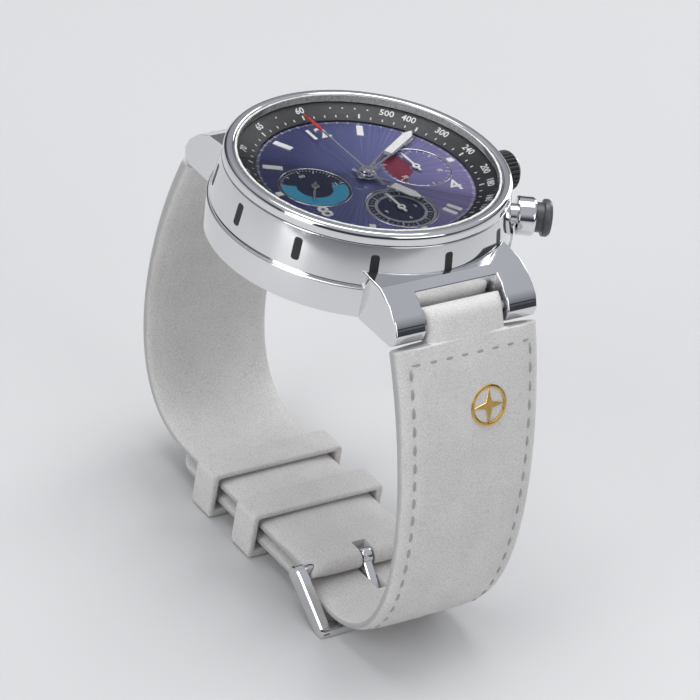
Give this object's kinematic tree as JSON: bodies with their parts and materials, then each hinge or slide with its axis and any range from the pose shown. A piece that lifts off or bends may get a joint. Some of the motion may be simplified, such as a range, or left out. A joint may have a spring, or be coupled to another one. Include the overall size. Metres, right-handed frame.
{
  "type": "chronograph wristwatch",
  "caption": "Round steel chronograph wristwatch with blue sub-dials, ribbed crown, push buttons and a pale leather strap fastened in a loop with a pin buckle.",
  "frame": {"origin": "under the middle of the dial, on the outer face of the fixed keeper that the fastened strap stands on", "axes": "+X points at 3 o'clock and the crown, +Y at 12 o'clock, +Z out of the dial"},
  "size_m": [0.0481, 0.0694, 0.0643],
  "materials": {
    "polished_steel": "mirror polish",
    "brushed_steel": "fine brushed",
    "movement_plate": "rhodium-plated, circular grained",
    "wheel_brass": "gilt",
    "hand_metal": "polished with white inlay",
    "red_lacquer": "lacquered",
    "dial_lacquer": "blue-violet sunray lacquer",
    "flange_black": "matt black with white print",
    "crown_black": "ribbed black",
    "pusher_grey": "dark grey coated",
    "sapphire": "clear, polished",
    "seal": "matt",
    "nylon": "moulded",
    "strap_leather": "pale grey grained with grey stitching"
  },
  "bodies": {
    "watch": {"case_middle": "polished_steel", "bezel": "polished_steel", "crystal": "sapphire", "crystal_gasket": "nylon", "flange_ring": "flange_black", "dial": "dial_lacquer", "case_back": "brushed_steel", "case_back_gasket": "seal", "movement_holder": "nylon", "main_plate": "movement_plate", "train_bridge": "movement_plate", "hairspring": "brushed_steel", "balance_cock": "movement_plate", "rotor_bearing": "brushed_steel", "crown_tube": "polished_steel", "pusher_collar_2": "polished_steel", "pusher_collar_4": "polished_steel", "lugs_12": "polished_steel", "lugs_6": "polished_steel", "spring_bar_12": "brushed_steel", "spring_bar_6": "brushed_steel", "strap_12": "strap_leather", "strap_6": "strap_leather", "buckle_frame": "polished_steel", "buckle_bar": "brushed_steel", "fixed_keeper": "strap_leather"},
    "centre_train": {"centre_wheel": "wheel_brass", "minute_hand": "hand_metal"},
    "hour_train": {"hour_wheel": "wheel_brass", "hour_hand": "hand_metal"},
    "motion_train": {"minute_wheel": "wheel_brass"},
    "barrel": {"mainspring_barrel": "wheel_brass"},
    "third_train": {"third_wheel": "wheel_brass"},
    "fourth_train": {"fourth_wheel": "wheel_brass", "small_seconds_hand": "hand_metal"},
    "escape_train": {"escape_wheel": "wheel_brass"},
    "fork": {"pallet_fork": "brushed_steel"},
    "balance": {"balance_wheel": "wheel_brass"},
    "winding_rotor": {"rotor": "brushed_steel"},
    "chrono_seconds_train": {"chronograph_wheel": "wheel_brass", "chrono_seconds_hand": "red_lacquer"},
    "chrono_minutes_train": {"minutes_counter_wheel": "wheel_brass", "chrono_minutes_hand": "hand_metal"},
    "chrono_hours_train": {"hours_counter_wheel": "wheel_brass", "chrono_hours_hand": "hand_metal"},
    "crown_seal": {"crown_gasket": "seal"},
    "crown": {"crown": "crown_black", "winding_stem": "brushed_steel"},
    "start_pusher": {"pusher_2": "pusher_grey"},
    "reset_pusher": {"pusher_4": "pusher_grey"},
    "tongue": {"buckle_tongue": "polished_steel"},
    "sliding_keeper": {"free_keeper": "strap_leather"}
  },
  "joints": [
    {"name": "minute_turn", "type": "hinge", "parent": "watch", "child": "centre_train", "pos_m": [0, 0, 0.0585], "axis": [0, 0, -1], "continuous": true},
    {"name": "hour_turn", "type": "hinge", "parent": "watch", "child": "hour_train", "pos_m": [0, 0, 0.0585], "axis": [0, 0, -1], "continuous": true},
    {"name": "motion_turn", "type": "hinge", "parent": "watch", "child": "motion_train", "pos_m": [0, 0.0032, 0.0585], "axis": [0, 0, -1], "continuous": true},
    {"name": "barrel_turn", "type": "hinge", "parent": "watch", "child": "barrel", "pos_m": [0.00309, 0.00536, 0.0585], "axis": [0, 0, -1], "continuous": true},
    {"name": "third_turn", "type": "hinge", "parent": "watch", "child": "third_train", "pos_m": [-0.00463, -0.00094, 0.0585], "axis": [0, 0, -1], "continuous": true},
    {"name": "small_seconds_turn", "type": "hinge", "parent": "watch", "child": "fourth_train", "pos_m": [-0.0086, 0, 0.0585], "axis": [0, 0, -1], "continuous": true},
    {"name": "escape_turn", "type": "hinge", "parent": "watch", "child": "escape_train", "pos_m": [-0.00967, -0.00312, 0.0585], "axis": [0, 0, -1], "continuous": true},
    {"name": "fork_swing", "type": "hinge", "parent": "watch", "child": "fork", "pos_m": [-0.00814, -0.00534, 0.0585], "axis": [0, 0, -1], "range_deg": [-5, 5]},
    {"name": "balance_swing", "type": "hinge", "parent": "watch", "child": "balance", "pos_m": [-0.0056, -0.009, 0.0585], "axis": [0, 0, -1], "range_deg": [-270, 270], "stiffness_Nm_per_rad": 0.00000076},
    {"name": "rotor_turn", "type": "hinge", "parent": "watch", "child": "winding_rotor", "pos_m": [0, 0, 0.0585], "axis": [0, 0, -1], "continuous": true},
    {"name": "chrono_seconds_turn", "type": "hinge", "parent": "watch", "child": "chrono_seconds_train", "pos_m": [0, 0, 0.0585], "axis": [0, 0, -1], "continuous": true},
    {"name": "chrono_minutes_turn", "type": "hinge", "parent": "watch", "child": "chrono_minutes_train", "pos_m": [0.0086, 0, 0.0585], "axis": [0, 0, -1], "continuous": true},
    {"name": "chrono_hours_turn", "type": "hinge", "parent": "watch", "child": "chrono_hours_train", "pos_m": [0, -0.0089, 0.0585], "axis": [0, 0, -1], "continuous": true},
    {"name": "crown_pull", "type": "slide", "parent": "watch", "child": "crown_seal", "axis": [1, 0, 0], "range_m": [0, 0.0016]},
    {"name": "crown_turn", "type": "hinge", "parent": "crown_seal", "child": "crown", "pos_m": [0.0221, 0, 0.0575], "axis": [1, 0, 0], "continuous": true},
    {"name": "start_push", "type": "slide", "parent": "watch", "child": "start_pusher", "axis": [-0.866, -0.5, 0], "range_m": [0, 0.001], "stiffness_N_per_m": 800},
    {"name": "reset_push", "type": "slide", "parent": "watch", "child": "reset_pusher", "axis": [-0.866, 0.5, 0], "range_m": [0, 0.001], "stiffness_N_per_m": 800},
    {"name": "tongue_swing", "type": "hinge", "parent": "watch", "child": "tongue", "pos_m": [0, -0.0145, 0.0057], "axis": [1, 0, 0], "range_deg": [0, 8]},
    {"name": "keeper_slide", "type": "slide", "parent": "watch", "child": "sliding_keeper", "axis": [0, 1, 0], "range_m": [-0.004, 0.004]}
  ],
  "couplings": [
    {"joint": "hour_turn", "follows": "minute_turn", "ratio": 0.083333},
    {"joint": "motion_turn", "follows": "minute_turn", "ratio": -0.33333},
    {"joint": "barrel_turn", "follows": "minute_turn", "ratio": -0.125},
    {"joint": "third_turn", "follows": "minute_turn", "ratio": -8},
    {"joint": "small_seconds_turn", "follows": "minute_turn", "ratio": 60},
    {"joint": "escape_turn", "follows": "minute_turn", "ratio": -600},
    {"joint": "chrono_minutes_turn", "follows": "chrono_seconds_turn", "ratio": 0.033333},
    {"joint": "chrono_hours_turn", "follows": "chrono_seconds_turn", "ratio": 0.0013889}
  ]
}
